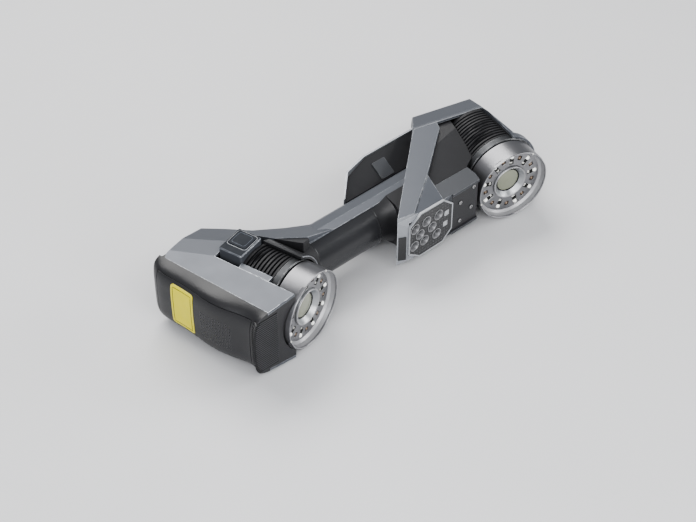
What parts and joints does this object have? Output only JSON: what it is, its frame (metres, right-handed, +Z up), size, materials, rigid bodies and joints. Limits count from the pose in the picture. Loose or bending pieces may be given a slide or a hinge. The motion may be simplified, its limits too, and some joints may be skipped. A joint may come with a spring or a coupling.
{
  "type": "handheld 3d scanner",
  "caption": "Two-camera handheld laser scanner with toed-in lamp rings, finned barrels, a round grip, an octagonal line projector and a rear control unit, lying on its side.",
  "frame": {"origin": "on the resting plane, under the middle of the body's bounding box", "axes": "+X from the lower camera head to the upper one, -Y the way the cameras look, +Z up out of the left side cover"},
  "size_m": [0.3512, 0.1228, 0.0734],
  "materials": {
    "painted": "satin grey-blue paint",
    "black_plastic": "fine textured black",
    "gloss_black": "polished black",
    "ring_metal": "bead blasted",
    "fin_metal": "black anodised",
    "chrome": "polished",
    "steel": "plain",
    "lens_glass": "coated",
    "clear_glass": "clear",
    "white_lamp": "clear dome over a white lamp",
    "red_lamp": "amber brown dome",
    "board": "solder mask",
    "grip": "soft touch",
    "label": "printed film, blank",
    "badge": "grey, blank",
    "mask_metal": "grey satin"
  },
  "bodies": {
    "scanner": {"beam_core": "black_plastic", "beam_screws": "steel", "cable_socket": "black_plastic", "camera_rear_housing": "black_plastic", "camera_side_rails": "painted", "control_badges": "badge", "control_housing": "black_plastic", "control_rim": "painted", "end_housing": "black_plastic", "end_panel": "black_plastic", "fan_frame": "black_plastic", "grip_sleeve": "grip", "handle_core_tube": "steel", "handle_harness": "grip", "indicator_windows": "clear_glass", "key_block": "painted", "key_board": "board", "laser_modules": "steel", "lower_camera_block": "steel", "lower_collar": "ring_metal", "lower_finned_barrel": "fin_metal", "lower_inner_shell": "black_plastic", "lower_lamp_board": "board", "lower_lamp_mask": "mask_metal", "lower_lamp_ring": "ring_metal", "lower_lens_glass": "lens_glass", "lower_lens_tube": "chrome", "lower_red_lamps": "red_lamp", "lower_sensor_board": "board", "lower_white_lamps": "white_lamp", "main_board": "board", "neck_ring": "black_plastic", "projector_bezel": "badge", "projector_hood": "painted", "projector_panel": "gloss_black", "projector_windows": "clear_glass", "side_cover_left": "painted", "side_cover_right": "painted", "side_frame_left": "painted", "side_frame_right": "painted", "side_inlay": "gloss_black", "upper_body_left": "black_plastic", "upper_body_right": "black_plastic", "upper_camera_block": "steel", "upper_collar": "ring_metal", "upper_finned_barrel": "fin_metal", "upper_lamp_board": "board", "upper_lamp_mask": "mask_metal", "upper_lamp_ring": "ring_metal", "upper_lens_glass": "lens_glass", "upper_lens_tube": "chrome", "upper_red_lamps": "red_lamp", "upper_sensor_board": "board", "upper_white_lamps": "white_lamp", "warning_label": "label"},
    "side_key_body": {"side_key": "gloss_black"},
    "rear_key_1_body": {"rear_key_1": "black_plastic"},
    "rear_key_2_body": {"rear_key_2": "black_plastic"},
    "rear_key_3_body": {"rear_key_3": "black_plastic"},
    "fan_rotor_body": {"fan_rotor": "black_plastic"}
  },
  "joints": [
    {"name": "side_key_press", "type": "slide", "parent": "scanner", "child": "side_key_body", "axis": [0, 0, -1], "range_m": [0, 0.0008]},
    {"name": "rear_key_1_press", "type": "slide", "parent": "scanner", "child": "rear_key_1_body", "axis": [0, -1, 0], "range_m": [0, 0.0008]},
    {"name": "rear_key_2_press", "type": "slide", "parent": "scanner", "child": "rear_key_2_body", "axis": [0, -1, 0], "range_m": [0, 0.0008]},
    {"name": "rear_key_3_press", "type": "slide", "parent": "scanner", "child": "rear_key_3_body", "axis": [0, -1, 0], "range_m": [0, 0.0008]},
    {"name": "fan_spin", "type": "hinge", "parent": "scanner", "child": "fan_rotor_body", "pos_m": [-0.14458, -0.04424, 0.03464], "axis": [0, 1, 0], "continuous": true}
  ]
}
